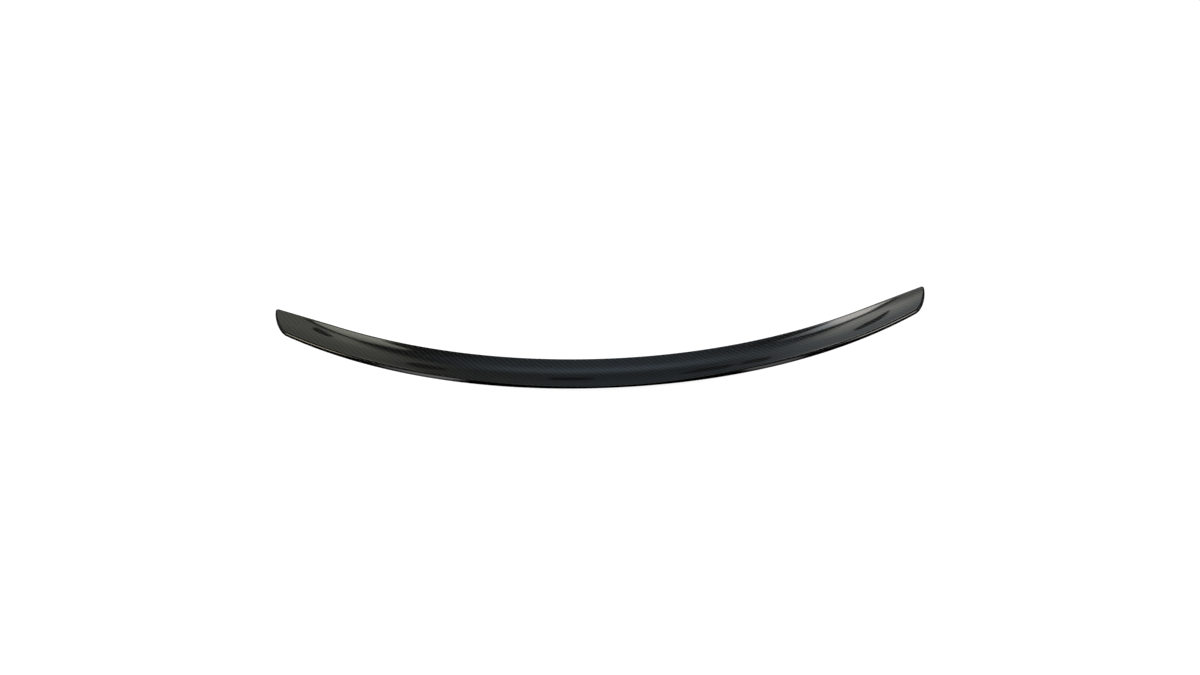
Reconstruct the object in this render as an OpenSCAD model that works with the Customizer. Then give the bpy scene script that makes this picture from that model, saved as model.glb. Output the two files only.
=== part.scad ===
// Lip spoiler for a car's boot lid: one carbon-fibre moulding with an open, hollow underside.
//
// X runs across the car, Y forwards and Z up. The part stands as it comes to rest on a flat
// surface, on the foot of its rear face. The seat under it, which lies on the boot lid, rises
// forwards by seat_angle, because a boot lid is crowned and its outer ends are lower.

/* [Plan] */
// Width across the two tips, mm
span = 1100; // [900:10:1300]
// How far the foot of the rear face sweeps forwards from the centre to the tips, mm
rear_bow = 140; // [90:1:180]
// Share of that sweep that belongs to the outer ends, where the curve tightens
rear_fullness = 0.2; // [0:0.01:0.5]
// Share of the leading edge's own sweep that belongs to the outer ends
front_fullness = 0.12; // [0:0.01:0.25]
// Foot of the rear face to the leading edge, on the centreline, mm
foot_chord = 54; // [46:1:75]
// The same distance at the tips, before they are rounded, mm
tip_chord = 51; // [44:1:66]

/* [Lip] */
// Height of the lip above the seat at the centre, before its edge is rounded, mm
lip_height = 24; // [18:1:36]
// How far the lip hangs over its own foot at the centre, mm
lip_overhang = 11.5; // [4:0.5:16]
// The same height at the tips, mm
tip_height = 9.5; // [8:0.5:12]
// Share of the lip's rise that is a straight ramp from the leading edge
ramp = 0.25; // [0.1:0.05:0.5]
// How sharply the rest of the rise kicks up towards the lip
kick = 2.6; // [2:0.1:3.5]
// Width of the rounding along the lip's upper edge, mm
roll_width = 6; // [4:0.5:8]
// Depth of that rounding down the rear face, mm
roll_drop = 5; // [3:0.5:6]

/* [Tips] */
// Length over which each tip rounds into the rear edge, mm
end_length = 22; // [16:1:40]
// How square that rounding is, from an ellipse at 2 upwards
end_squareness = 2; // [1.8:0.1:3]
// How far the leading edge falls back from its sweep towards the tip, mm
fall_back = 8; // [0:0.5:12]
// Length over which it falls back, mm
fall_length = 110; // [60:5:160]
// Corner radius where the leading edge meets the tip, mm
corner_radius = 6; // [5:0.5:9]

/* [Laminate and underside] */
// Thickness of the laminate, mm
wall = 2.4; // [1.8:0.1:2.8]
// Thickness at the leading edge, mm
lead_thickness = 2.4; // [2:0.1:3.2]
// Width of the bonding land that turns in at the foot of the rear face, mm
rear_land = 13; // [10:1:16]
// Width of the bonding land behind the leading edge, mm
front_land = 14; // [10:1:18]
// Length at each tip that is solid through, mm
solid_end = 110; // [80:5:160]
// Length over which the hollow runs out before it, mm
run_out = 70; // [40:5:110]
// Rounding at the foot, mm
foot_round = 1.2; // [0.6:0.1:1.8]
// Angle by which the seat rises forwards, degrees
seat_angle = 6; // [3:0.5:8]

/* [Hidden] */

half = span / 2;
front_bow = rear_bow + tip_chord - foot_chord;
// Stations from the centreline to the run-out of the hollow, over the run-out, over the
// straight part of the solid end and round the tip.
zone_stations = [22, 8, 5, 14];
top_points = 14;        // across the top between the two rounded edges
roof_points = 8;        // across the roof of the hollow
roll_points = 3;        // inside the curve of each rounded edge
probe = 0.5;            // half the width over which a slope is measured, mm
nudge = 0.001;          // step along an outline for its direction
drop_ratio = 0.7;       // a thin edge is rounded down over this share of its height
roll_ratio = 1.25;      // and inwards over this many times its height,
corner_ratio = 0.45;    // but over no more than this share of the corner's radius there
foot_ratio = 0.25;      // largest foot rounding as a share of the edge's height
land_ratio = 0.3;       // widest land as a share of the local chord

// A sweep of the given depth at the tips: part parabola, part fourth power.
function bow(x, depth, fullness) =
    let (s = pow(x / half, 2)) depth * s * (1 - fullness + fullness * s);
function foot_y(x) = bow(x, rear_bow, rear_fullness);
function lead_y(x) = foot_chord + bow(x, front_bow, front_fullness);

// The lip is full at the centre and fades to the tips as a squared cosine.
function crown(x) = pow(cos(90 * x / half), 2);
function lip(x) = tip_height + (lip_height - tip_height) * crown(x);
function overhang(x) = lip_overhang * pow(crown(x), 2);
function crest_y(x) = foot_y(x) - overhang(x);
function chord(x) = lead_y(x) - crest_y(x);

// Heights: the seat under the part, and the concave top surface above it.
function seat_z(x, y) = tan(seat_angle) * (y - foot_y(x));
function rise(w) = ramp * w + (1 - ramp) * pow(max(0, w), kick);
function depth_at(x, y) =
    lead_thickness + (lip(x) - lead_thickness) * rise((lead_y(x) - y) / chord(x));
function top_z(x, y) = seat_z(x, y) + depth_at(x, y);
function top_slope(x, y) = (top_z(x, y - probe) - top_z(x, y + probe)) / (2 * probe);

// Plan outlines of one half, q from 0 at the centreline over 1 at the start of the tip's rounding
// to 2 at the tip. The rear one is a superellipse there, the front one falls back into an arc.
tip_start = half - end_length;
corner_share = (fall_back + corner_radius) / chord(half);
function station_x(q) =
    q < 1 ? q * tip_start : tip_start + end_length * pow(sin(90 * (q - 1)), 2 / end_squareness);
function rear_share(q) =
    q < 1 ? 1 : corner_share + (1 - corner_share) * pow(cos(90 * (q - 1)), 2 / end_squareness);
function front_drop(x) =
    let (fall = max(0, x - half + fall_length) / fall_length, turn = max(0, x - half + corner_radius))
        fall_back * fall * fall + corner_radius - sqrt(max(0, pow(corner_radius, 2) - turn * turn));
function outline(q, front) =
    let (x = station_x(q)) [x, lead_y(x) - (front ? front_drop(x) : rear_share(q) * chord(x))];

// Unit vector in plan that points into the part, square to the outline.
function inward(q, front) =
    q >= 2 ? [-1, 0] :
    let (
        d = outline(min(2, q + nudge), front) - outline(q - nudge, front),
        side = front ? -1 : 1
    ) side * [-d.y, d.x] / norm(d);

function bend(a, b, c, t) = (1 - t) * (1 - t) * a + 2 * t * (1 - t) * b + t * t * c;
function over_seat(p) = [p.x, p.y, seat_z(p.x, p.y)];
function on_top(p) = [p.x, p.y, top_z(p.x, p.y)];

// One edge of the moulding at q, from the foot up the face and over the rounded edge.
function edge(q, front) =
    let (
        plan = outline(q, front),
        n = inward(q, front),
        height = depth_at(plan.x, plan.y),
        full = min(roll_width, roll_ratio * height),
        round_tip = front ? 1 : pow(max(0, q - 1), 3),
        width = full + round_tip * (min(full, corner_ratio * corner_radius) - full),
        drop = min(roll_drop, drop_ratio * height),
        foot_r = min(foot_round, foot_ratio * height),
        shoulder_plan = plan + n * width,
        shoulder = on_top(shoulder_plan),
        slope = (top_z(shoulder_plan.x - n.x * probe, shoulder_plan.y - n.y * probe)
            - top_z(shoulder_plan.x + n.x * probe, shoulder_plan.y + n.y * probe)) / (2 * probe),
        crest = [plan.x, plan.y, shoulder.z + slope * width],
        foot = over_seat(plan + n * (front ? 0 : overhang(plan.x) * max(0, n.y))),
        up = (crest - foot) / norm(crest - foot),
        heel = over_seat([foot.x, foot.y] + n * foot_r),
        face_top = crest - up * drop
    ) [
        heel,
        bend(heel, foot, foot + up * foot_r, 0.5),
        foot + up * foot_r,
        face_top,
        for (k = [1:roll_points]) bend(face_top, crest, shoulder, k / (roll_points + 1)),
        shoulder
    ];

// The hollow: one laminate below the top surface, and one inside the leaning rear face.
function roof_z(x, y) = top_z(x, y) - wall * sqrt(1 + pow(top_slope(x, y), 2));
function lean(x) = overhang(x) / lip(x);
function face_inside_y(x, z, ny) = foot_y(x) + wall * sqrt(1 + pow(lean(x), 2)) / ny - lean(x) * z;
// Where the roof meets the inside of the rear face, found by stepping from one to the other.
function hollow_back_y(x, y, ny, steps = 8) =
    steps == 0 ? y : hollow_back_y(x, face_inside_y(x, roof_z(x, y), ny), ny, steps - 1);
hollow_end = half - solid_end;
function open_share(x) =
    let (t = min(1, max(0, (hollow_end - x) / run_out))) t * t * (3 - 2 * t);

// Underside at q, from the front land to the rear land. In the solid ends it is flat on the seat.
function underside(q, front_heel, rear_heel) =
    let (
        x = station_x(q),
        ny = max(0.5, inward(q, false).y),
        room = front_heel.y - rear_heel.y,
        front_in = front_heel + (rear_heel - front_heel) * min(front_land / ny / room, land_ratio),
        rear_in = rear_heel + (front_heel - rear_heel) * min(rear_land / ny / room, land_ratio),
        back = hollow_back_y(x, foot_y(x) + wall, ny),
        roof = [for (k = [0:roof_points - 1])
            let (y = front_in.y + (back - front_in.y) * k / (roof_points - 1)) [x, y, roof_z(x, y)]],
        floor_y = foot_y(x) + wall * sqrt(1 + pow(lean(x), 2)) / ny,
        open = [
            each roof,
            [x, floor_y, seat_z(x, floor_y) + wall],
            [x, rear_in.y, seat_z(x, rear_in.y) + wall]
        ],
        count = len(open)
    ) [
        over_seat(front_in),
        for (k = [0:count - 1])
            let (flat = over_seat(front_in + (rear_in - front_in) * (k + 1) / (count + 1)))
                flat + open_share(x) * (open[k] - flat),
        over_seat(rear_in)
    ];

// A closed ring round the section at q: up the rear edge, across the top, down the front edge
// and back underneath.
function reversed(list) = [for (k = [len(list) - 1:-1:0]) list[k]];
function ring(q) =
    let (
        rear = edge(q, false),
        front = edge(q, true),
        a = rear[len(rear) - 1],
        b = front[len(front) - 1]
    ) [
        each rear,
        for (k = [1:top_points]) let (p = a + (b - a) * k / (top_points + 1)) on_top(p),
        each reversed(front),
        each underside(q, front[0], rear[0])
    ];

zone_ends = [(hollow_end - run_out) / tip_start, hollow_end / tip_start, 1, 2];
station_q = [
    0,
    for (z = [0:3], k = [1:zone_stations[z]])
        let (from = z == 0 ? 0 : zone_ends[z - 1]) from + (zone_ends[z] - from) * k / zone_stations[z]
];
stations = len(station_q) - 1;
rings = [for (q = station_q) ring(q)];
ring_size = len(rings[0]);
edge_size = len(edge(0, false));
points = [
    for (i = [-stations:stations])
        for (p = rings[abs(i)]) [sign(i) * p.x, p.y, p.z]
];

// At a tip the rear and the front edge are one, so that ring folds onto its first edge.
function folded(j) =
    j < edge_size ? j :
    j < edge_size + top_points ? edge_size - 1 :
    j < 2 * edge_size + top_points ? 2 * edge_size + top_points - 1 - j :
    0;
function index(i, j) =
    let (k = j % ring_size) (i + stations) * ring_size + (abs(i) == stations ? folded(k) : k);
function whole(t) = t[0] != t[1] && t[1] != t[2] && t[0] != t[2];
triangles = [
    for (i = [-stations:stations - 1])
        for (j = [0:ring_size - 1])
            let (
                a = index(i, j),
                b = index(i, j + 1),
                c = index(i + 1, j + 1),
                d = index(i + 1, j),
                pair = i < 0 ? [[a, b, c], [a, c, d]] : [[a, b, d], [b, c, d]]
            )
            for (t = pair) if (whole(t)) t
];

low = [min([for (p = points) p.y]), min([for (p = points) p.z])];
high_y = max([for (p = points) p.y]);

module spoiler() {
    color([0.10, 0.11, 0.11])
        translate([0, -(low[0] + high_y) / 2, -low[1]])
            polyhedron(points = points, faces = triangles, convexity = 6);
}

spoiler();
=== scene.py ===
import math

import bpy
import numpy as np
from mathutils import Matrix


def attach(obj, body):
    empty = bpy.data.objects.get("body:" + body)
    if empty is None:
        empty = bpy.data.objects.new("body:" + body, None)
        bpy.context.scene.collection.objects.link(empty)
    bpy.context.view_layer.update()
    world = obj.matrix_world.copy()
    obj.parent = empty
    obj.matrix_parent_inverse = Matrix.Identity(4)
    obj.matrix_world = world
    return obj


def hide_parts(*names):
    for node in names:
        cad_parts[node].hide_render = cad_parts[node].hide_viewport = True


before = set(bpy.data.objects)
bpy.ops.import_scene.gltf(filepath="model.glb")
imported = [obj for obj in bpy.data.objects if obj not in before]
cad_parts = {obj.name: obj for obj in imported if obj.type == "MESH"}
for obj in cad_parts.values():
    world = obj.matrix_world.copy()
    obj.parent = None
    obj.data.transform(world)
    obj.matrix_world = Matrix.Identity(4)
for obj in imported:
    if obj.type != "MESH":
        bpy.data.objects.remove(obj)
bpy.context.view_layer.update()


# The camera
# A short telephoto on a tripod behind the spoiler, looking down on its top skin, a little from the
# left and rolled by less than a degree.
TARGET = np.array([-0.0049, 0.0130, 0.0049])
DISTANCE = 2.5
AZIMUTH = math.radians(-1.69)
ELEVATION = math.radians(54.0)
ROLL = math.radians(-0.68)
SENSOR_WIDTH, FOCAL_LENGTH = 36.0, 45.07

level = math.cos(ELEVATION)
back = np.array([math.sin(AZIMUTH) * level, -math.cos(AZIMUTH) * level, math.sin(ELEVATION)])
right = np.array([math.cos(AZIMUTH), math.sin(AZIMUTH), 0.0])
up = np.cross(back, right)
rolled_right = right * math.cos(ROLL) + up * math.sin(ROLL)
rolled_up = up * math.cos(ROLL) - right * math.sin(ROLL)
lens = bpy.data.cameras.new("camera")
lens.sensor_width = SENSOR_WIDTH
lens.lens = FOCAL_LENGTH
camera = bpy.data.objects.new("camera", lens)
pose = np.eye(4)
pose[:3] = np.column_stack([rolled_right, rolled_up, back, TARGET + back * DISTANCE])
camera.matrix_world = Matrix(pose.tolist())
bpy.context.scene.collection.objects.link(camera)
bpy.context.scene.camera = camera
bpy.context.scene.view_settings.view_transform = "Standard"


# The studio
# A white sweep of paper lies under the spoiler, and white walls stand around it. Both show as white
# to the eye, and the walls add a low, even light. From below the paper can be looked through.
def link(tree, source, target):
    """Joins one node's output socket to another's input socket."""
    tree.links.new(source, target)


def math_node(tree, operation, *values):
    """A Math node: the operation on the given sockets or numbers. Gives back its output socket."""
    node = tree.nodes.new("ShaderNodeMath")
    node.operation = operation
    for slot, value in enumerate(values):
        if isinstance(value, (int, float)):
            node.inputs[slot].default_value = value
        else:
            link(tree, value, node.inputs[slot])
    return node.outputs[0]


def seen_directly(tree):
    """1 for a ray that shows the background to the eye: a camera, glossy or transmission ray."""
    path = tree.nodes.new("ShaderNodeLightPath")
    eye_or_gloss = math_node(tree, "ADD", path.outputs["Is Camera Ray"], path.outputs["Is Glossy Ray"])
    seen = math_node(tree, "ADD", eye_or_gloss, path.outputs["Is Transmission Ray"])
    return math_node(tree, "MINIMUM", seen, 1.0)


AMBIENT = 0.2
world = bpy.data.worlds.new("white_walls")
bpy.context.scene.world = world
world.use_nodes = True
walls = world.node_tree
walls_shader = walls.nodes["Background"]
walls_shader.inputs["Color"].default_value = (1.0, 1.0, 1.0, 1.0)
extra = math_node(walls, "MULTIPLY", seen_directly(walls), 1.0 - AMBIENT)
link(walls, math_node(walls, "ADD", extra, AMBIENT), walls_shader.inputs["Strength"])

PAPER_HALF = 6.0
PAPER_GLOW = 0.88
PAPER_WHITE = 0.3
paper_corners = [(x * PAPER_HALF, y * PAPER_HALF, 0.0) for x, y in ((-1, -1), (1, -1), (1, 1), (-1, 1))]
paper_mesh = bpy.data.meshes.new("paper")
paper_mesh.from_pydata(paper_corners, [], [(0, 1, 2, 3)])
paper = bpy.data.objects.new("paper", paper_mesh)
bpy.context.scene.collection.objects.link(paper)
paper_look = bpy.data.materials.new("paper_white")
paper_look.use_nodes = True
tree = paper_look.node_tree
tree.nodes.clear()
surface = tree.nodes.new("ShaderNodeOutputMaterial")
matt = tree.nodes.new("ShaderNodeBsdfDiffuse")
matt.inputs["Color"].default_value = (PAPER_WHITE, PAPER_WHITE, PAPER_WHITE, 1.0)
glow = tree.nodes.new("ShaderNodeEmission")
link(tree, math_node(tree, "MULTIPLY", seen_directly(tree), PAPER_GLOW), glow.inputs["Strength"])
both = tree.nodes.new("ShaderNodeAddShader")
link(tree, matt.outputs[0], both.inputs[0])
link(tree, glow.outputs[0], both.inputs[1])
facing = tree.nodes.new("ShaderNodeNewGeometry")
one_sided = tree.nodes.new("ShaderNodeMixShader")
link(tree, facing.outputs["Backfacing"], one_sided.inputs[0])
link(tree, both.outputs[0], one_sided.inputs[1])
link(tree, tree.nodes.new("ShaderNodeBsdfTransparent").outputs[0], one_sided.inputs[2])
link(tree, one_sided.outputs[0], surface.inputs["Surface"])
paper_mesh.materials.append(paper_look)
paper.visible_diffuse = paper.visible_shadow = False


# The softboxes
# One large lamp overhead, a little behind and to the left, gives the plain light and the soft shadow.
# Another, under the paper and ahead, lights the underside. Both are kept out of the gloss.
SOFTBOX_AT = np.array([-0.7, -0.5, 2.6])
SOFTBOX_SIZE = 2.6
SOFTBOX_WATTS = 60.0
lamp = bpy.data.lights.new("softbox", "AREA")
lamp.shape = "SQUARE"
lamp.size = SOFTBOX_SIZE
lamp.energy = SOFTBOX_WATTS
softbox = bpy.data.objects.new("softbox", lamp)
ahead = SOFTBOX_AT / np.linalg.norm(SOFTBOX_AT)
sideways = np.cross((0.0, 1.0, 0.0), ahead)
sideways /= np.linalg.norm(sideways)
aim = np.eye(4)
aim[:3] = np.column_stack([sideways, np.cross(ahead, sideways), ahead, SOFTBOX_AT])
softbox.matrix_world = Matrix(aim.tolist())
softbox.visible_glossy = False
bpy.context.scene.collection.objects.link(softbox)

FILL_AT = (0.0, 1.5, -1.4)
FILL_TILT = math.radians(-133.0)
FILL_SIZE = 2.4
FILL_WATTS = 40.0
fill_lamp = bpy.data.lights.new("fill", "AREA")
fill_lamp.shape = "SQUARE"
fill_lamp.size = FILL_SIZE
fill_lamp.energy = FILL_WATTS
fill = bpy.data.objects.new("fill", fill_lamp)
fill.location = FILL_AT
fill.rotation_euler = (FILL_TILT, 0.0, 0.0)
fill.visible_glossy = fill.visible_camera = False
bpy.context.scene.collection.objects.link(fill)


# The tent and its lights
# A black tent stands round the spoiler, with soft panels hung in it. Only glossy rays see them: they
# are what the clear coat and the cloth under it mirror, and they light nothing else.
TENT_HALF, TENT_TOP, TENT_FOOT = 2.4, 3.6, 0.0004


def only_in_gloss(thing):
    """Hides an object of the stage from all rays but glossy ones."""
    thing.visible_camera = thing.visible_diffuse = thing.visible_transmission = thing.visible_shadow = False
    bpy.context.scene.collection.objects.link(thing)


def glowing(name):
    """A material that shines with the colour attribute glow, and is black without it."""
    look = bpy.data.materials.new(name)
    look.use_nodes = True
    tree = look.node_tree
    tree.nodes.clear()
    surface = tree.nodes.new("ShaderNodeOutputMaterial")
    glow = tree.nodes.new("ShaderNodeEmission")
    painted = tree.nodes.new("ShaderNodeAttribute")
    painted.attribute_name = "glow"
    link(tree, painted.outputs["Color"], glow.inputs["Color"])
    link(tree, glow.outputs[0], surface.inputs["Surface"])
    return look


def hung(name, corner, along, upwards, colours):
    """A panel of the tent: a grid of points from its corner, along and up its two edges, that glows
    with the given rows and columns of colours."""
    rows, columns = colours.shape[:2]
    v, u = np.meshgrid(np.linspace(0, 1, rows), np.linspace(0, 1, columns), indexing="ij")
    spots = np.array(corner) + u[..., None] * np.array(along) + v[..., None] * np.array(upwards)
    number = np.arange(rows * columns).reshape(rows, columns)
    cells = np.stack([number[:-1, :-1], number[:-1, 1:], number[1:, 1:], number[1:, :-1]], -1)
    mesh = bpy.data.meshes.new(name)
    mesh.from_pydata(spots.reshape(-1, 3), [], cells.reshape(-1, 4))
    glow = mesh.color_attributes.new("glow", "FLOAT_COLOR", "POINT")
    opaque = np.concatenate([colours, np.ones((rows, columns, 1))], -1)
    glow.data.foreach_set("color", opaque.astype(np.float32).ravel())
    mesh.materials.append(glowing(name))
    only_in_gloss(bpy.data.objects.new(name, mesh))


def eased(value, start, end):
    """0 before start, 1 after end, and a smooth step between them."""
    t = np.clip((value - start) / (end - start), 0.0, 1.0)
    return t * t * (3 - 2 * t)


def toned(level, colour):
    """A colour field: a field of brightness times one colour."""
    return level[..., None] * np.array(colour)


FACE_POINTS = 33


def softbox_face(level, colour, soft):
    """The front of a softbox: full in its middle and easing to black over its rim, as shares of it."""
    share = np.linspace(0, 1, FACE_POINTS)
    v, u = np.meshgrid(share, share, indexing="ij")
    inside = eased(np.minimum(u, 1 - u), 0, soft) * eased(np.minimum(v, 1 - v), 0, soft)
    return toned(level * inside, colour)


tent_corners = []
for z in (TENT_FOOT, TENT_TOP):
    for x, y in ((-1, -1), (1, -1), (1, 1), (-1, 1)):
        tent_corners.append((x * TENT_HALF, y * TENT_HALF, z))
tent_walls = [(0, 4, 5, 1), (1, 5, 6, 2), (2, 6, 7, 3), (3, 7, 4, 0)]
tent_mesh = bpy.data.meshes.new("tent")
tent_mesh.from_pydata(tent_corners, [], [(0, 1, 2, 3), (4, 7, 6, 5), *tent_walls])
tent_mesh.materials.append(glowing("tent_black"))
only_in_gloss(bpy.data.objects.new("tent", tent_mesh))

WHITE = (1.0, 1.0, 1.0)
back_face = softbox_face(level=0.9, colour=WHITE, soft=0.45)
hung("panel_back", (-2.0, -2.3, 0.8), (4.0, 0, 0), (0, 0, 2.3), back_face)
above_face = softbox_face(level=1.0, colour=WHITE, soft=0.3)
hung("panel_above", (-1.6, -1.7, 3.5), (3.2, 0, 0), (0, 3.15, 0), above_face)

# At each end a side panel and a strip light stand. The strip shows along the rounded rear edge, and
# a low reflector right behind the rear face shows as a thin light line in it.
SIDE_CORNER = (2.3, -1.6, 0.1)
STRIP_CORNER, STRIP_LENGTH = (2.24, -0.75, 0.1), (-0.33, -0.68, 0.0)
REFLECTOR_HEIGHT, REFLECTOR_WIDTH = 0.0006, 0.04
REFLECTOR_INNER_END = (0.22, -0.069, REFLECTOR_HEIGHT)
side_face = softbox_face(level=0.8, colour=WHITE, soft=0.45)
for end, side, strip_level, strip_colour, reflector_level, reflector_x, reflector_y in (
    ("left", -1, 7.0, (1.0, 0.93, 0.72), 0.8, 0.395, -0.0245),
    ("right", 1, 7.5, (1.0, 0.99, 0.94), 0.6, 0.345, -0.0385),
):
    handed = np.array((side, 1.0, 1.0))
    hung("panel_" + end, handed * SIDE_CORNER, (0, 3.2, 0), (0, 0, 2.6), side_face)
    strip_face = softbox_face(strip_level, strip_colour, soft=0.15)
    hung("strip_" + end, handed * STRIP_CORNER, handed * STRIP_LENGTH, (0, 0, 1.5), strip_face)
    outer_end = np.array((reflector_x, reflector_y, REFLECTOR_HEIGHT))
    reflector_length = REFLECTOR_INNER_END - outer_end
    reflector_face = softbox_face(reflector_level, WHITE, soft=0.2)
    hung(
        "reflector_" + end,
        handed * outer_end,
        handed * reflector_length,
        (0, -REFLECTOR_WIDTH, 0),
        reflector_face,
    )


# The screen
# Ahead of the leading edge hangs a tall screen, lit from behind: blue-grey in its middle, olive on the
# left and white on the right. The long reflections on the top skin are all its picture.
SCREEN_Y, SCREEN_HALF, SCREEN_FOOT, SCREEN_TOP = 1.5, 1.35, -0.15, 2.65
PITCH = 0.006
upwards = np.arange(SCREEN_FOOT, SCREEN_TOP, PITCH)
sidewards = np.arange(-SCREEN_HALF, SCREEN_HALF, PITCH)
height, across = np.meshgrid(upwards, sidewards, indexing="ij")


def bell(value, middle, spread):
    """1 at the middle, falling off as a Gaussian of the given spread."""
    return np.exp(-(((value - middle) / spread) ** 2))


def mixed(under, over, mask):
    """One colour field laid over another through a mask."""
    return under + mask[..., None] * (over - under)


def line(path, cores, soft):
    """Mask of a line on the screen: 1 within its core, 0 beyond the core and a soft rim. The core is
    a half width at each point of the path."""
    gap = np.full(across.shape, np.inf)
    for start, end, core, next_core in zip(path[:-1], path[1:], cores[:-1], cores[1:]):
        (x0, z0), run = start, np.subtract(end, start)
        share = np.clip(((across - x0) * run[0] + (height - z0) * run[1]) / (run @ run), 0, 1)
        away = np.hypot(across - x0 - share * run[0], height - z0 - share * run[1])
        gap = np.minimum(gap, away - core - share * (next_core - core))
    return 1 - eased(gap, 0, soft)


# The blue-grey middle is brightest at eye height. Towards its left edge it darkens to black.
left_edge = np.interp(height, (0.5, 1.2, 1.5, 1.8, 2.0, 2.1), (-0.39, -0.39, -0.50, -0.65, -0.75, -0.79))
left_soft = np.interp(height, (0.8, 1.2, 1.5, 1.7, 2.0), (0.19, 0.15, 0.10, 0.08, 0.05))
left_black = np.interp(height, (1.2, 1.5, 1.7, 2.0, 2.3), (-0.1, 0.0, 0.06, 0.12, 0.2))
black_fade = np.interp(height, (1.5, 1.7, 2.0, 2.3), (0.33, 0.22, 0.15, 0.32))
right_spread = np.interp(height, (1.5, 1.8, 2.2), (0.55, 0.8, 0.6))
middle_level = 0.14 + 0.19 * eased(height, 1.0, 1.8) + 0.45 * bell(height, 1.42, 0.27)
middle_level = middle_level * bell(across, 0.05, np.where(across < 0.05, 0.6, right_spread))
middle_level = np.maximum(middle_level, 0.15 * (1 - eased(height, 0.9, 1.3)))
middle_level = middle_level * eased(across - left_edge, left_black, left_black + black_fade)
grey = (1 - eased(height, 0.9, 1.3)) * (1 - eased(across, -0.25, 0.1))
painting = mixed(toned(middle_level, (0.78, 1.0, 1.21)), toned(middle_level, (0.87, 1.0, 0.95)), grey)

# The olive left is brightest beside the black.
left_level = np.interp(height, (0.4, 1.0, 1.3, 1.7, 2.2), (0.52, 0.57, 0.70, 0.96, 1.06))
left_level = left_level + 0.55 * bell(across, left_edge - 0.09, 0.07) * eased(height, 1.55, 1.95)
on_left = 1 - eased((across - left_edge) / left_soft, -1, 1)
painting = mixed(painting, toned(left_level, (0.97, 1.0, 0.83)), on_left)

# The white right grows brighter and warmer upwards and dims towards its outer rim.
right_edge = np.interp(height, (0.5, 1.1, 1.5, 1.7, 1.9, 2.1), (0.44, 0.47, 0.60, 0.67, 0.775, 0.89))
right_soft = np.interp(height, (1.0, 1.5, 1.7, 2.0), (0.22, 0.13, 0.10, 0.07))
right_level = np.interp(height, (0.5, 1.0, 1.3, 1.5, 1.7, 2.0), (0.80, 0.94, 1.12, 1.70, 2.15, 3.2))
right_level = right_level * (1 - 0.62 * eased(across, 1.0, 1.25))
warmth = eased(height, 1.2, 1.9)
right_tone = mixed(toned(right_level, (0.92, 1.0, 1.04)), toned(right_level, (0.98, 1.0, 0.91)), warmth)
painting = mixed(painting, right_tone, eased((across - right_edge) / right_soft, -1, 1))

# A bright curtain hangs over each end of the screen, and a dark gap runs along its rim.
left_gap = line(
    path=[(-1.14, 2.47), (-1.0, 2.32), (-0.9, 2.235), (-0.82, 2.165), (-0.70, 2.04)],
    cores=(0.045, 0.018, 0.010, 0.014, 0.03),
    soft=0.03,
)
right_gap = line(
    path=[(1.24, 2.40), (1.1, 2.30), (1.0, 2.245), (0.9, 2.175), (0.8, 2.09), (0.73, 2.03)],
    cores=(0.016, 0.018, 0.018, 0.022, 0.028, 0.025),
    soft=0.04,
)
right_shade = line(
    path=[(1.0, 2.57), (0.80, 2.42), (0.70, 2.34), (0.64, 2.25), (0.61, 2.17)],
    cores=(0.03, 0.03, 0.03, 0.02, 0.0),
    soft=0.09,
)
for dark_line, depth in ((left_gap, 0.95), (right_gap, 0.85), (right_shade, 1.0)):
    painting = painting * (1 - depth * dark_line)[..., None]
left_rim_x = (-1.25, -1.12, -0.9, -0.83, -0.74, -0.65)
left_rim = np.interp(across, left_rim_x, (2.65, 2.43, 2.265, 2.205, 2.165, 2.13))
left_side = np.interp(height, (2.1, 2.2, 2.3, 2.4, 2.5), (-0.655, -0.635, -0.66, -0.735, -0.82))
left_curtain = eased(height - left_rim, -0.01, 0.035) * eased(left_side - across, -0.02, 0.03)
left_light = np.interp(height, (2.15, 2.2, 2.3, 2.4, 2.5), (0.9, 1.05, 2.3, 3.1, 4.0))
painting = mixed(painting, toned(left_light, (0.98, 1.0, 0.84)), left_curtain)
right_rim = np.interp(across, (0.62, 0.8, 0.9, 1.0, 1.1, 1.2), (2.10, 2.155, 2.24, 2.31, 2.355, 2.43))
right_top = np.interp(across, (0.62, 0.7, 0.8, 0.9, 1.0, 1.1), (2.14, 2.26, 2.36, 2.46, 2.54, 2.60))
right_curtain = eased(height - right_rim, -0.01, 0.035) * eased(right_top - height, -0.02, 0.04)
right_curtain = right_curtain * eased(across, 0.61, 0.66)
right_light = np.interp(across, (0.66, 0.72, 0.8, 0.9, 1.0, 1.1, 1.2), (0.5, 1.0, 1.9, 4.0, 7.8, 8.6, 7.5))
cool_light, warm_light = toned(right_light, (0.93, 1.0, 1.06)), toned(right_light, (1.03, 1.0, 0.94))
right_glow = mixed(cool_light, warm_light, eased(across, 0.85, 1.05))
painting = mixed(painting, right_glow, right_curtain)

# The stands of the lights show as short black streaks.
for path, cores, soft in (
    ([(-1.0, 2.18), (-0.93, 2.045), (-0.88, 1.94), (-0.835, 1.845)], (0.0, 0.023, 0.027, 0.008), 0.012),
    ([(-0.41, 1.10), (-0.375, 0.95), (-0.345, 0.78)], (0.020, 0.040, 0.028), 0.014),
    ([(-0.035, 0.74), (-0.035, 0.53)], (0.038, 0.038), 0.012),
    ([(0.225, 0.50), (0.265, 0.74)], (0.042, 0.042), 0.014),
    ([(0.34, 0.60), (0.375, 0.86)], (0.026, 0.026), 0.014),
    ([(0.70, 1.33), (0.76, 1.47), (0.84, 1.63), (0.98, 1.88)], (0.0, 0.022, 0.022, 0.0), 0.012),
):
    painting = painting * (1 - line(path, cores, soft))[..., None]

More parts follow.
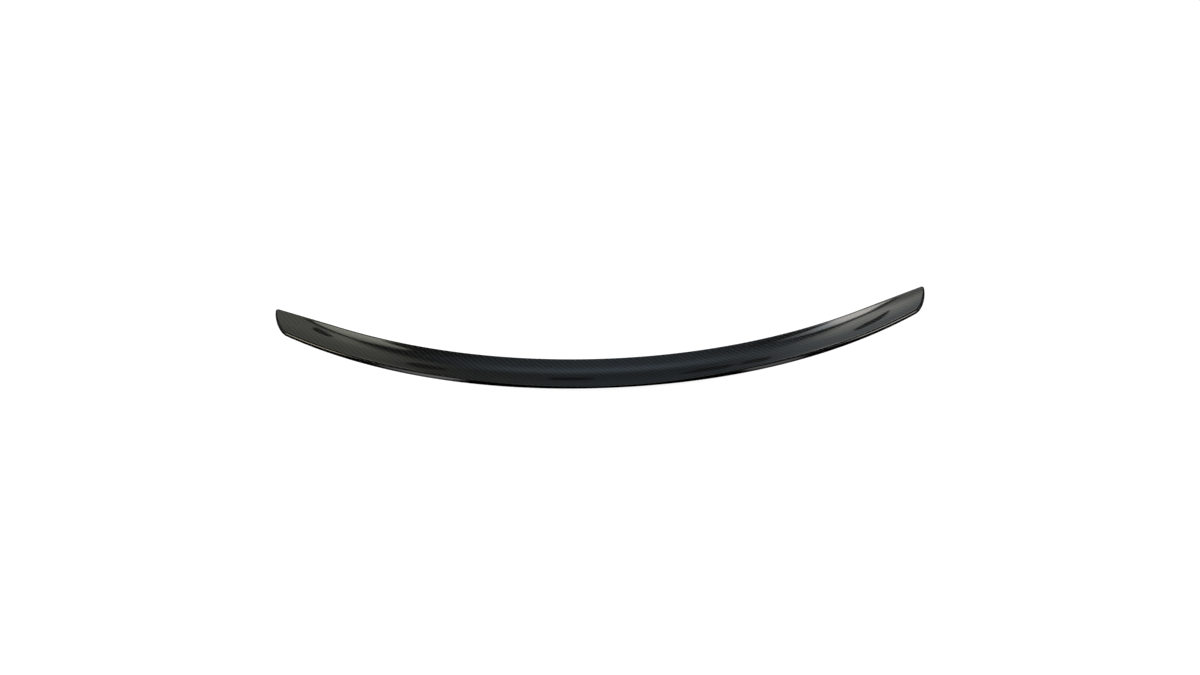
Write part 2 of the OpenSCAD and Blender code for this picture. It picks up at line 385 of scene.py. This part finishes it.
screen_width, screen_height = sidewards[-1] + SCREEN_HALF, upwards[-1] - SCREEN_FOOT
screen_corner = (-SCREEN_HALF, SCREEN_Y, SCREEN_FOOT)
hung("screen", screen_corner, (screen_width, 0, 0), (0, 0, screen_height), painting)


# The cloth
# 2x2 twill of flat carbon tows: each passes over two and under two, so the floats line up as
# diagonal wales. Used under the clear coat and bare on the underside.
def named_group(name, inputs, outputs):
    """A shader node group with the given named inputs (name, kind, value) and number outputs."""
    group = bpy.data.node_groups.new(name, "ShaderNodeTree")
    for label, kind, value in inputs:
        socket = group.interface.new_socket(label, in_out="INPUT", socket_type=kind)
        if value is not None:
            socket.default_value = value
    for label in outputs:
        group.interface.new_socket(label, in_out="OUTPUT", socket_type="NodeSocketFloat")
    return group, group.nodes.new("NodeGroupInput"), group.nodes.new("NodeGroupOutput")


twill, given, result = named_group(
    "twill_cloth",
    [
        ("Cloth", "NodeSocketVector", None),
        ("Tow width", "NodeSocketFloat", 0.0022),
        ("Fibre contrast", "NodeSocketFloat", 0.5),
    ],
    ["Warp on top", "Crown", "Fibres", "Drift"],
)

# The cloth's coordinates are counted in tows, and laying it by hand makes the tows wander a little.
scaled = twill.nodes.new("ShaderNodeVectorMath")
scaled.operation = "DIVIDE"
link(twill, given.outputs["Cloth"], scaled.inputs[0])
tow_size = twill.nodes.new("ShaderNodeCombineXYZ")
for axis in range(3):
    link(twill, given.outputs["Tow width"], tow_size.inputs[axis])
link(twill, tow_size.outputs[0], scaled.inputs[1])

wander = twill.nodes.new("ShaderNodeTexNoise")
wander.inputs["Scale"].default_value = 0.11
wander.inputs["Detail"].default_value = 2.0
link(twill, scaled.outputs[0], wander.inputs["Vector"])
centred = twill.nodes.new("ShaderNodeVectorMath")
centred.operation = "SUBTRACT"
centred.inputs[1].default_value = (0.5, 0.5, 0.5)
link(twill, wander.outputs["Color"], centred.inputs[0])
waver = twill.nodes.new("ShaderNodeVectorMath")
waver.operation = "SCALE"
waver.inputs["Scale"].default_value = 0.5
link(twill, centred.outputs[0], waver.inputs[0])
laid = twill.nodes.new("ShaderNodeVectorMath")
laid.operation = "ADD"
link(twill, scaled.outputs[0], laid.inputs[0])
link(twill, waver.outputs[0], laid.inputs[1])
cloth = twill.nodes.new("ShaderNodeSeparateXYZ")
link(twill, laid.outputs[0], cloth.inputs[0])

# The pattern moves over by one tow in each row. The warp is on top for two of every four tows.
column = math_node(twill, "FLOOR", cloth.outputs["X"])
row = math_node(twill, "FLOOR", cloth.outputs["Y"])
across_column = math_node(twill, "FRACT", cloth.outputs["X"])
across_row = math_node(twill, "FRACT", cloth.outputs["Y"])
step = math_node(twill, "FLOORED_MODULO", math_node(twill, "ADD", column, row), 4.0)
warp = math_node(twill, "LESS_THAN", step, 1.5)


def crown_of(tree, way_over):
    """1 along the middle of a tow and 0 at its edges: one less the fourth power of twice the offset."""
    offset = math_node(tree, "MULTIPLY_ADD", way_over, 2.0, -1.0)
    fall = math_node(tree, "POWER", math_node(tree, "ABSOLUTE", offset), 4.0)
    return math_node(tree, "SUBTRACT", 1.0, fall)


def arch_of(tree, along):
    """Height of a float from where it dives under (0) over its middle (1): a half sine of its length."""
    return math_node(tree, "SINE", math_node(tree, "MULTIPLY", along, math.pi))


# Places of a Mix node's sockets: for numbers its two inputs and its result, and the same for colours.
NUMBER_A, NUMBER_B, NUMBER_OUT = 2, 3, 0
COLOUR_A, COLOUR_B, COLOUR_OUT = 6, 7, 2


def chosen(tree, mask, one, other):
    """One value where the mask is 1 and the other where it is 0."""
    mix = tree.nodes.new("ShaderNodeMix")
    link(tree, mask, mix.inputs["Factor"])
    link(tree, other, mix.inputs[NUMBER_A])
    link(tree, one, mix.inputs[NUMBER_B])
    return mix.outputs[NUMBER_OUT]


# Each float rises where it comes up, arches over two tows and dives again.
warp_along = math_node(twill, "MULTIPLY", math_node(twill, "ADD", step, across_column), 0.5)
weft_step = math_node(twill, "SUBTRACT", step, 2.0)
weft_along = math_node(twill, "MULTIPLY", math_node(twill, "ADD", weft_step, across_row), 0.5)
arch = arch_of(twill, chosen(twill, warp, warp_along, weft_along))
ridge = chosen(twill, warp, crown_of(twill, across_row), crown_of(twill, across_column))
DIVED_HEIGHT = 0.45
lift = math_node(twill, "MULTIPLY_ADD", arch, 1.0 - DIVED_HEIGHT, DIVED_HEIGHT)
crown = math_node(twill, "MULTIPLY", ridge, lift)


def fibre_streaks(tree, stretch):
    """Fine streaks along a tow: noise on the cloth, drawn out along one of its two directions."""
    drawn = tree.nodes.new("ShaderNodeVectorMath")
    drawn.operation = "MULTIPLY"
    drawn.inputs[1].default_value = stretch
    link(tree, laid.outputs[0], drawn.inputs[0])
    noise = tree.nodes.new("ShaderNodeTexNoise")
    noise.inputs["Scale"].default_value = 1.0
    noise.inputs["Detail"].default_value = 3.0
    link(tree, drawn.outputs[0], noise.inputs["Vector"])
    return noise.outputs["Fac"]


ALONG_FIBRES, ACROSS_FIBRES = 0.35, 9.0
warp_fibres = fibre_streaks(twill, (ALONG_FIBRES, ACROSS_FIBRES, 1.0))
weft_fibres = fibre_streaks(twill, (ACROSS_FIBRES, ALONG_FIBRES, 1.0))
fibres = math_node(twill, "SUBTRACT", chosen(twill, warp, warp_fibres, weft_fibres), 0.5)
link(twill, warp, result.inputs["Warp on top"])
link(twill, crown, result.inputs["Crown"])
link(twill, math_node(twill, "MULTIPLY", fibres, given.outputs["Fibre contrast"]), result.inputs["Fibres"])
link(twill, wander.outputs["Fac"], result.inputs["Drift"])


TOW_HEIGHT = 0.00012


def cloth_material(name, warp_sheen_colour, weft_shade_colour, resin_colour, bump):
    """A material of twill cloth, its warp tows painted lighter with sheen and its weft tows painted darker
    with shade. Gives back the material, its tree, its Principled shader, its placed twill group and the
    cloth's colour."""
    look = bpy.data.materials.new(name)
    look.use_nodes = True
    tree = look.node_tree
    shader = tree.nodes["Principled BSDF"]
    flat = tree.nodes.new("ShaderNodeUVMap")
    flat.uv_map = "cloth"
    weave = tree.nodes.new("ShaderNodeGroup")
    weave.node_tree = twill
    link(tree, flat.outputs["UV"], weave.inputs["Cloth"])
    # Warp and weft are one fibre: the warp's lighter colour is painted sheen and the weft's darker one
    # painted shade, as tows catch the light by their direction.
    tows = tree.nodes.new("ShaderNodeMix")
    tows.data_type = "RGBA"
    link(tree, weave.outputs["Warp on top"], tows.inputs["Factor"])
    tows.inputs[COLOUR_A].default_value = (*weft_shade_colour, 1.0)
    tows.inputs[COLOUR_B].default_value = (*warp_sheen_colour, 1.0)
    filled = tree.nodes.new("ShaderNodeMix")
    filled.data_type = "RGBA"
    link(tree, weave.outputs["Crown"], filled.inputs["Factor"])
    filled.inputs[COLOUR_A].default_value = (*resin_colour, 1.0)
    link(tree, tows.outputs[COLOUR_OUT], filled.inputs[COLOUR_B])
    streaked = tree.nodes.new("ShaderNodeVectorMath")
    streaked.operation = "SCALE"
    link(tree, filled.outputs[COLOUR_OUT], streaked.inputs[0])
    link(tree, math_node(tree, "ADD", weave.outputs["Fibres"], 1.0), streaked.inputs["Scale"])
    relief = tree.nodes.new("ShaderNodeBump")
    relief.inputs["Strength"].default_value = bump
    relief.inputs["Distance"].default_value = TOW_HEIGHT
    link(tree, weave.outputs["Crown"], relief.inputs["Height"])
    link(tree, relief.outputs["Normal"], shader.inputs["Normal"])
    return look, tree, shader, weave, streaked.outputs[0]


# The coated skin
# The show side: cloth under a thick clear coat, polished like a car's paint. It covers the top, the
# rear face and the rounded edges.
coated, tree, shader, weave, colour = cloth_material(
    "clear_coated_carbon",
    # The warp's lighter tone is painted sheen and the weft's darker tone painted shade on one and the same
    # fibre.
    warp_sheen_colour=(0.0175, 0.0178, 0.0178),
    weft_shade_colour=(0.0018, 0.0019, 0.0019),
    resin_colour=(0.0014, 0.0014, 0.0014),
    bump=0.35,
)
link(tree, colour, shader.inputs["Base Color"])

# Carbon fibres glint a little as metal does.
shader.inputs["Metallic"].default_value = 0.3
shader.inputs["Specular IOR Level"].default_value = 0.2
FIBRE_ROUGHNESS, ROUGHNESS_DRIFT = 0.25, 0.1
fibre_roughness = math_node(tree, "MULTIPLY_ADD", weave.outputs["Drift"], ROUGHNESS_DRIFT, FIBRE_ROUGHNESS)
link(tree, fibre_roughness, shader.inputs["Roughness"])
shader.inputs["Coat Weight"].default_value = 1.0
shader.inputs["Coat Roughness"].default_value = 0.02
shader.inputs["Coat IOR"].default_value = 1.5


# The bare laminate
# The underside as it leaves the mould's open side: the same cloth, resin-rich and satin, with no
# coat. Its bonding lands are scuffed with a pad so that tape holds on them.
bare, tree, shader, weave, colour = cloth_material(
    "bare_laminate",
    # The warp's lighter tone is painted sheen and the weft's darker tone painted shade on one and the same
    # fibre.
    warp_sheen_colour=(0.070, 0.071, 0.070),
    weft_shade_colour=(0.026, 0.027, 0.027),
    resin_colour=(0.014, 0.014, 0.014),
    bump=0.8,
)
DUST_COLOUR = (0.110, 0.111, 0.109)
LEAST_SCUFF = 0.2
SATIN_ROUGHNESS, SCUFF_ROUGHNESS = 0.42, 0.3
land = tree.nodes.new("ShaderNodeAttribute")
land.attribute_name = "land"
scratches = tree.nodes.new("ShaderNodeTexNoise")
scratches.inputs["Scale"].default_value = 900.0
scratches.inputs["Detail"].default_value = 4.0
position = tree.nodes.new("ShaderNodeTexCoord")
link(tree, position.outputs["Object"], scratches.inputs["Vector"])
scratched = math_node(tree, "MULTIPLY_ADD", scratches.outputs["Fac"], 1.0 - LEAST_SCUFF, LEAST_SCUFF)
scuff = math_node(tree, "MULTIPLY", land.outputs["Fac"], scratched)
dusty = tree.nodes.new("ShaderNodeMix")
dusty.data_type = "RGBA"
link(tree, scuff, dusty.inputs["Factor"])
link(tree, colour, dusty.inputs[COLOUR_A])
dusty.inputs[COLOUR_B].default_value = (*DUST_COLOUR, 1.0)
link(tree, dusty.outputs[COLOUR_OUT], shader.inputs["Base Color"])
bare_roughness = math_node(tree, "MULTIPLY_ADD", scuff, SCUFF_ROUGHNESS, SATIN_ROUGHNESS)
link(tree, bare_roughness, shader.inputs["Roughness"])


# The spoiler
# One carbon-fibre moulding, open underneath: laid up in a mould with its top skin down, so the
# cloth wraps from the leading edge over the lip to the foot of the rear face, then trimmed.
HALF = 0.55
REAR_BOW, REAR_FULLNESS = 0.140, 0.2
FRONT_BOW, FRONT_FULLNESS = 0.137, 0.12
FOOT_CHORD = 0.054
LIP_HEIGHT, LIP_OVERHANG, TIP_HEIGHT = 0.024, 0.0115, 0.0095
RAMP, KICK = 0.25, 2.6
ROLL_WIDTH, ROLL_DROP = 0.006, 0.005
END_LENGTH, FALL_BACK, FALL_LENGTH, CORNER = 0.022, 0.008, 0.110, 0.006
WALL, LEAD, FOOT_ROUND = 0.0024, 0.0024, 0.0012
REAR_LAND, FRONT_LAND = 0.013, 0.014
SOLID_END, RUN_OUT = 0.110, 0.070
SEAT = math.tan(math.radians(6.0))

# On the thin tips the roundings of the edges are held to shares of the height or of the corner.
ROLL_SHARE, DROP_SHARE, HEEL_SHARE, TIP_ROLL_SHARE = 1.25, 0.7, 0.25, 0.45
FOOT_POINTS, FACE_STEPS, CREST_POINTS = 5, 6, 11
SLOPE_REACH = 0.0005


def sweep(x, depth, fullness):
    """Plan sweep: depth times the square of x over the half span, mixed with its fourth power."""
    s = (x / HALF) ** 2
    return depth * s * (1 - fullness + fullness * s)


def foot_y(x):
    """The foot of the rear face in plan."""
    return sweep(x, REAR_BOW, REAR_FULLNESS)


def lead_y(x):
    """The leading edge's sweep in plan."""
    return FOOT_CHORD + sweep(x, FRONT_BOW, FRONT_FULLNESS)


def crown_at(x):
    """The lip's fullness along the span: a squared cosine, 1 at the centre and 0 at the tips."""
    return np.cos(np.pi / 2 * x / HALF) ** 2


def lip(x):
    """Height of the lip above the seat, before its edge is rounded."""
    return TIP_HEIGHT + (LIP_HEIGHT - TIP_HEIGHT) * crown_at(x)


def overhang(x):
    """How far the lip hangs over its foot."""
    return LIP_OVERHANG * crown_at(x) ** 2


def chord(x):
    """Crest to leading edge, measured forwards."""
    return lead_y(x) - foot_y(x) + overhang(x)


def seat_z(x, y):
    """The seat under the part, which rises forwards from the foot of the rear face."""
    return SEAT * (y - foot_y(x))


def depth_at(x, y):
    """Top surface above the seat: a straight ramp from the leading edge mixed with a power of it."""
    w = np.maximum(0.0, (lead_y(x) - y) / chord(x))
    return LEAD + (lip(x) - LEAD) * (RAMP * (lead_y(x) - y) / chord(x) + (1 - RAMP) * w**KICK)


def top_z(x, y):
    """The top surface's height."""
    return seat_z(x, y) + depth_at(x, y)


TIP_START = HALF - END_LENGTH
CORNER_SHARE = float((FALL_BACK + CORNER) / chord(HALF))


def outline(q, front):
    """Plan outline for q from 0 at the centre over 1 where the tip's rounding starts to 2 at the tip.
    The rear one closes as a quarter ellipse, the front one falls back as a parabola into an arc."""
    turn = np.pi / 2 * np.clip(q - 1, 0, 1)
    x = np.where(q < 1, q * TIP_START, TIP_START + END_LENGTH * np.sin(turn))
    if front:
        fall = np.maximum(0, x - HALF + FALL_LENGTH) / FALL_LENGTH
        arc = np.maximum(0, x - HALF + CORNER)
        drop = FALL_BACK * fall**2 + CORNER - np.sqrt(np.maximum(0, CORNER**2 - arc**2))
    else:
        drop = np.where(q < 1, 1, CORNER_SHARE + (1 - CORNER_SHARE) * np.cos(turn)) * chord(x)
    return np.stack([x, lead_y(x) - drop], -1)


def inward(q, front):
    """Unit vector in plan, square to the outline and into the part."""
    along = outline(np.minimum(2, q + 1e-3), front) - outline(q - 1e-3, front)
    side = np.stack([-along[:, 1], along[:, 0]], -1) * (-1 if front else 1)
    side /= np.linalg.norm(side, axis=1)[:, None]
    side[q >= 2] = (-1, 0)
    return side


def lifted(plan, height):
    """Plan points with the height that a function of x and y gives them."""
    return np.concatenate([plan, height(plan[..., 0], plan[..., 1])[..., None]], -1)


def bend(a, b, c, t):
    """Points on the quadratic curve from a to c that leaves and arrives towards b."""
    t = np.asarray(t)[None, :, None]
    return (1 - t) ** 2 * a[:, None] + 2 * t * (1 - t) * b[:, None] + t**2 * c[:, None]


def edge(q, front):
    """One edge at each station: over the rounded foot, up the face, over the rounded crest."""
    plan, n = outline(q, front), inward(q, front)
    height = depth_at(*plan.T)
    width = np.minimum(ROLL_WIDTH, ROLL_SHARE * height)
    tip_share = 1.0 if front else np.maximum(0, q - 1) ** 3
    width = width + tip_share * (np.minimum(width, TIP_ROLL_SHARE * CORNER) - width)
    drop = np.minimum(ROLL_DROP, DROP_SHARE * height)
    heel_round = np.minimum(FOOT_ROUND, HEEL_SHARE * height)
    shoulder = lifted(plan + n * width[:, None], top_z)
    outer = lifted(shoulder[:, :2] - n * SLOPE_REACH, top_z)
    inner = lifted(shoulder[:, :2] + n * SLOPE_REACH, top_z)
    slope = (outer[:, 2] - inner[:, 2]) / (2 * SLOPE_REACH)
    crest = np.column_stack([plan, shoulder[:, 2] + slope * width])
    under = 0.0 if front else overhang(plan[:, 0]) * np.maximum(0, n[:, 1])
    foot = lifted(plan + n * np.reshape(under, (-1, 1)), seat_z)
    heel = lifted(foot[:, :2] + n * heel_round[:, None], seat_z)
    climb = (crest - foot) / np.linalg.norm(crest - foot, axis=1)[:, None]
    low, high = foot + climb * heel_round[:, None], crest - climb * drop[:, None]
    face = low[:, None] + (high - low)[:, None] * np.linspace(0, 1, FACE_STEPS)[None, 1:-1, None]
    rounded_foot = bend(heel, foot, low, np.linspace(0, 1, FOOT_POINTS))
    rounded_crest = bend(high, crest, shoulder, np.linspace(0, 1, CREST_POINTS))
    return np.concatenate([rounded_foot, face, rounded_crest], 1)


def slope_at(x, y):
    """How steeply the top surface rises towards the rear."""
    return (top_z(x, y - SLOPE_REACH) - top_z(x, y + SLOPE_REACH)) / (2 * SLOPE_REACH)


def roof_z(x, y):
    """The roof of the hollow, one laminate below the top surface."""
    return top_z(x, y) - WALL * np.sqrt(1 + slope_at(x, y) ** 2)


MOST_OF_ARM = 0.45


def shortened(arm, radius):
    """An arm of a corner cut to the radius, or to under half its length where it is shorter."""
    length = np.maximum(1e-9, np.linalg.norm(arm, axis=1))
    return arm * np.minimum(radius / length, MOST_OF_ARM)[:, None]


def softened(path, corners, radius, steps):
    """A path with the corners named by their places in it rounded over: each becomes a short bend."""
    parts = []
    for place in range(path.shape[1]):
        point = path[:, place]
        if place not in corners:
            parts.append(point[:, None])
            continue
        before = shortened(path[:, place - 1] - point, radius)
        after = shortened(path[:, place + 1] - point, radius)
        parts.append(bend(point + before, point, point + after, np.linspace(0, 1, steps)))
    return np.concatenate(parts, 1)


ROOF_POINTS = 22
LAND_SHARE, LEAST_INWARD = 0.3, 0.5
HOLLOW_ROUND, HOLLOW_ROUND_POINTS = 0.0008, 4
MEETING_TURNS = 8


def underside(q, front_heel, rear_heel):
    """The underside from the front land round the hollow to the rear land. In the solid ends it lies
    flat on the seat, and over the run-out it eases from there to the full hollow."""
    x = outline(q, False)[:, 0]
    inward_y = np.maximum(LEAST_INWARD, inward(q, False)[:, 1])
    room = np.maximum(1e-9, front_heel[:, 1] - rear_heel[:, 1])
    front_share = np.minimum(FRONT_LAND / inward_y / room, LAND_SHARE)[:, None]
    rear_share = np.minimum(REAR_LAND / inward_y / room, LAND_SHARE)[:, None]
    front_in = front_heel + (rear_heel - front_heel) * front_share
    rear_in = rear_heel + (front_heel - rear_heel) * rear_share
    lean = overhang(x) / lip(x)
    inside = foot_y(x) + WALL * np.sqrt(1 + lean**2) / inward_y
    meeting = foot_y(x) + WALL
    for _ in range(MEETING_TURNS):
        meeting = inside - lean * roof_z(x, meeting)
    share = np.linspace(0, 1, ROOF_POINTS)[None]
    roof_y = front_in[:, 1:2] + (meeting - front_in[:, 1])[:, None] * share
    roof_x = np.broadcast_to(x[:, None], roof_y.shape)
    roof = np.stack([roof_x, roof_y, roof_z(roof_x, roof_y)], -1)
    corner = np.stack([x, inside, seat_z(x, inside) + WALL], -1)[:, None]
    brim = np.stack([x, rear_in[:, 1], seat_z(x, rear_in[:, 1]) + WALL], -1)[:, None]
    hollow = np.concatenate([roof, corner, brim], 1)
    count = hollow.shape[1]
    steps = (np.arange(1, count + 1) / (count + 1))[None, :, None]
    flat = lifted(front_in[:, None] + (rear_in - front_in)[:, None] * steps, seat_z)
    hollowness = eased(HALF - SOLID_END - x, 0, RUN_OUT)[:, None, None]
    path = np.concatenate(
        [
            lifted(front_heel[:, None], seat_z),
            lifted(front_in[:, None], seat_z),
            flat + hollowness * (hollow - flat),
            lifted(rear_in[:, None], seat_z),
            lifted(rear_heel[:, None], seat_z),
        ],
        1,
    )
    last = path.shape[1] - 1
    corners = (1, 2, last - 4, last - 3, last - 2, last - 1)
    return softened(path, corners, HOLLOW_ROUND, HOLLOW_ROUND_POINTS)[:, 1:-1]


TOP_POINTS = 44
SPAN_STATIONS, TIP_STATIONS = 170, 40
q = np.concatenate([np.linspace(0, 1, SPAN_STATIONS)[:-1], np.linspace(1, 2, TIP_STATIONS)])
rear, front = edge(q, False), edge(q, True)
t = (np.arange(1, TOP_POINTS + 1) / (TOP_POINTS + 1))[None, :, None]
top = lifted(rear[:, -1:, :2] + (front[:, -1:, :2] - rear[:, -1:, :2]) * t, top_z)
below = underside(q, front[:, 0, :2], rear[:, 0, :2])
ring = np.concatenate([rear, top, front[:, ::-1], below], 1)
outer_size = rear.shape[1] + TOP_POINTS + front.shape[1]
ring_size = ring.shape[1]

low_y, high_y, low_z = ring[..., 1].min(), ring[..., 1].max(), ring[..., 2].min()
halves = np.concatenate([ring[:0:-1] * (-1, 1, 1), ring])

# The finer surface is drawn in by a hair, so that it stays inside the solid's box.
INSIDE = (1.0, 0.9999, 0.997)
points = (halves - (0, (low_y + high_y) / 2, low_z)) * INSIDE

# The cloth lies almost as it comes off the roll: its weave turns by a few degrees from one tip to
# the other, and it is drawn over the lip without stretching.
WEAVE_ANGLE, WEAVE_TURN = 4.5, 22.0
LINE_POINTS = 2201
x_line = np.linspace(-HALF, HALF, LINE_POINTS)
middle_line = lead_y(x_line) - 0.5 * chord(x_line)
turn = np.radians(WEAVE_ANGLE + WEAVE_TURN * x_line)
rate = np.gradient(middle_line, x_line)
pace = x_line[1] - x_line[0]
cloth_u = np.cumsum(np.cos(turn) + np.sin(turn) * rate) * pace
cloth_v = np.cumsum(np.cos(turn) * rate - np.sin(turn)) * pace
closed = np.concatenate([halves, halves[:, :1]], 1)
hops = np.linalg.norm(np.diff(closed, axis=1), axis=2)
length = np.concatenate([np.zeros((len(closed), 1)), np.cumsum(hops, 1)], 1)
middle = rear.shape[1] + TOP_POINTS // 2
laid_y = closed[:, middle, 1][:, None] + length - length[:, middle][:, None]


def on_cloth(x, y):
    """Cloth coordinates of a point laid flat: along and across the weave at the centreline, plus the
    distance from that line turned by the weave's angle there."""
    away = y - np.interp(x, x_line, middle_line)
    angle = np.interp(x, x_line, turn)
    u = np.interp(x, x_line, cloth_u) + np.sin(angle) * away
    v = np.interp(x, x_line, cloth_v) + np.cos(angle) * away
    return np.stack([u, v], -1)


uv_outer = on_cloth(closed[..., 0], laid_y)
uv_under = on_cloth(closed[..., 0], closed[..., 1])

# At a tip the rear and the front edge are one, so the last section folds onto its rear edge.
place = np.arange(ring_size)
fold = np.where(place < rear.shape[1], place, 0)
in_top = (place >= rear.shape[1]) & (place < rear.shape[1] + TOP_POINTS)
fold = np.where(in_top, rear.shape[1] - 1, fold)
in_front = (place >= rear.shape[1] + TOP_POINTS) & (place < outer_size)
fold = np.where(in_front, outer_size - 1 - place, fold)
station = np.arange(len(points))
at_tip = (station == 0) | (station == station[-1])
index = station[:, None] * ring_size + np.where(at_tip[:, None], fold, place)
index = np.concatenate([index, index[:, :1]], 1)
a, b, c, d = index[:-1, :-1], index[:-1, 1:], index[1:, 1:], index[1:, :-1]
i, j = np.meshgrid(station[:-1], place, indexing="ij")
left_half = i < len(points) // 2
corner = np.stack([np.stack(spot, -1) for spot in ((i, j), (i, j + 1), (i + 1, j + 1), (i + 1, j))], 2)
vertex = np.stack([a, b, c, d], 2)
first = np.where(left_half[..., None], [0, 1, 2], [0, 1, 3])
second = np.where(left_half[..., None], [0, 2, 3], [1, 2, 3])
pick = np.stack([first, second], 2).reshape(-1, 2, 3)
vertex = np.repeat(vertex.reshape(-1, 1, 4), 2, 1)
triangles = np.take_along_axis(vertex, pick, 2).reshape(-1, 3)
corner = corner.reshape(-1, 4, 2)
corners = corner[np.arange(len(corner))[:, None, None], pick].reshape(-1, 3, 2)
column_of = np.repeat(j.reshape(-1), 2)
whole = (triangles != np.roll(triangles, 1, axis=1)).all(axis=1)
triangles, corners, column_of = triangles[whole], corners[whole], column_of[whole]
used, triangles = np.unique(triangles, return_inverse=True)
triangles = triangles.reshape(-1, 3)[:, ::-1]
corners = corners[:, ::-1]
vertices = points.reshape(-1, 3)[used]

mesh = bpy.data.meshes.new("spoiler_moulding")
mesh.from_pydata(vertices, [], triangles)
under_face = column_of >= outer_size - 1
rows, columns = corners[..., 0], corners[..., 1]
uv = np.where(under_face[:, None, None], uv_under[rows, columns], uv_outer[rows, columns])
layer = mesh.uv_layers.new(name="cloth")
layer.uv.foreach_set("vector", uv.astype(np.float32).ravel())
mesh.materials.append(coated)
mesh.materials.append(bare)
mesh.polygons.foreach_set("material_index", under_face.astype(np.int32))
ON_SEAT, SHARP_EDGE = 1e-5, math.radians(50.0)
above_seat = halves[..., 2] - seat_z(np.abs(halves[..., 0]), halves[..., 1])
flat_on_seat = np.abs(above_seat) < ON_SEAT
land_mask = mesh.attributes.new("land", "FLOAT", "POINT")
land_mask.data.foreach_set("value", flat_on_seat.reshape(-1)[used].astype(np.float32))
mesh.polygons.foreach_set("use_smooth", np.ones(len(triangles), bool))
mesh.set_sharp_from_angle(angle=SHARP_EDGE)
mesh.update()
spoiler = bpy.data.objects.new("spoiler_moulding", mesh)
bpy.context.scene.collection.objects.link(spoiler)
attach(spoiler, "root")
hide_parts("spoiler")
